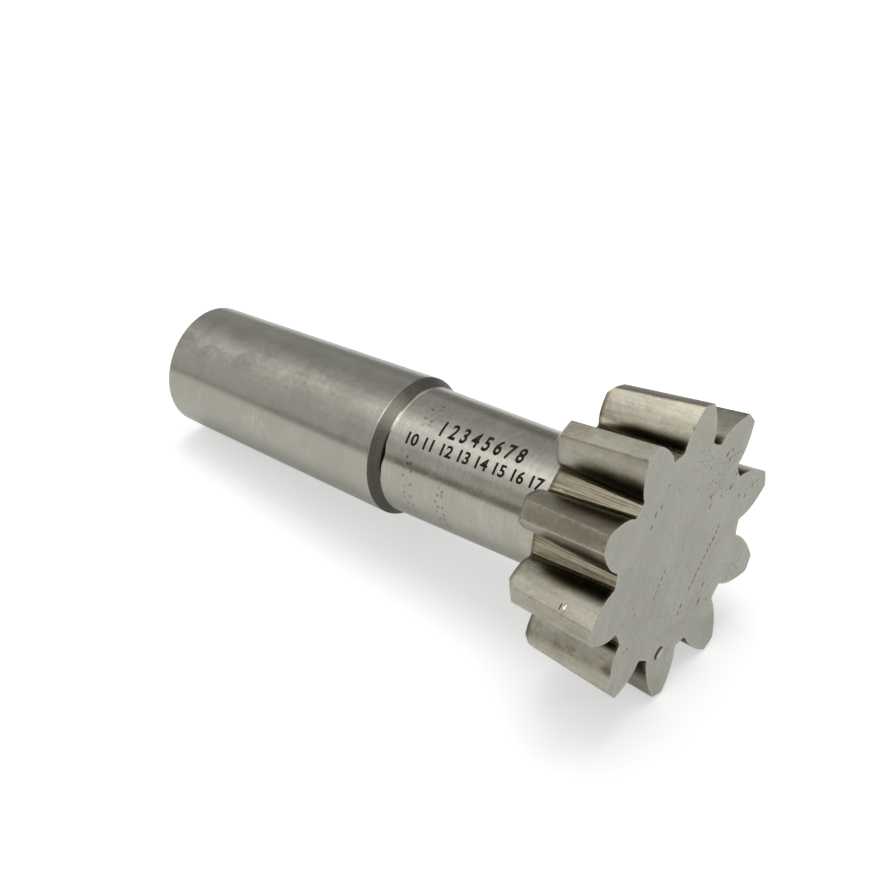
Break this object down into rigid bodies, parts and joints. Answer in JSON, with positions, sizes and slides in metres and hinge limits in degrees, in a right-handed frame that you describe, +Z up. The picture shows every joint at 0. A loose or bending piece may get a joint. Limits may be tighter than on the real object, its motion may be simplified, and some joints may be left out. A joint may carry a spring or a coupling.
{
  "type": "shank gear shaper cutter",
  "caption": "Shank gear shaper cutter: a relieved involute toothed head on a turned neck, with a conical shoulder and a short tapered shank.",
  "frame": {"origin": "on the surface that the cutter lies on, under the centre of its bounding box", "axes": "+X towards the toothed head, +Z up; the cutter's own axis rises 7.1 degrees from the shank end to the head"},
  "size_m": [0.1043, 0.0472, 0.0457],
  "materials": {
    "tool_steel": "ground satin steel, with a dull front face"
  },
  "bodies": {
    "root": {"cutter": "tool_steel"}
  },
  "joints": []
}
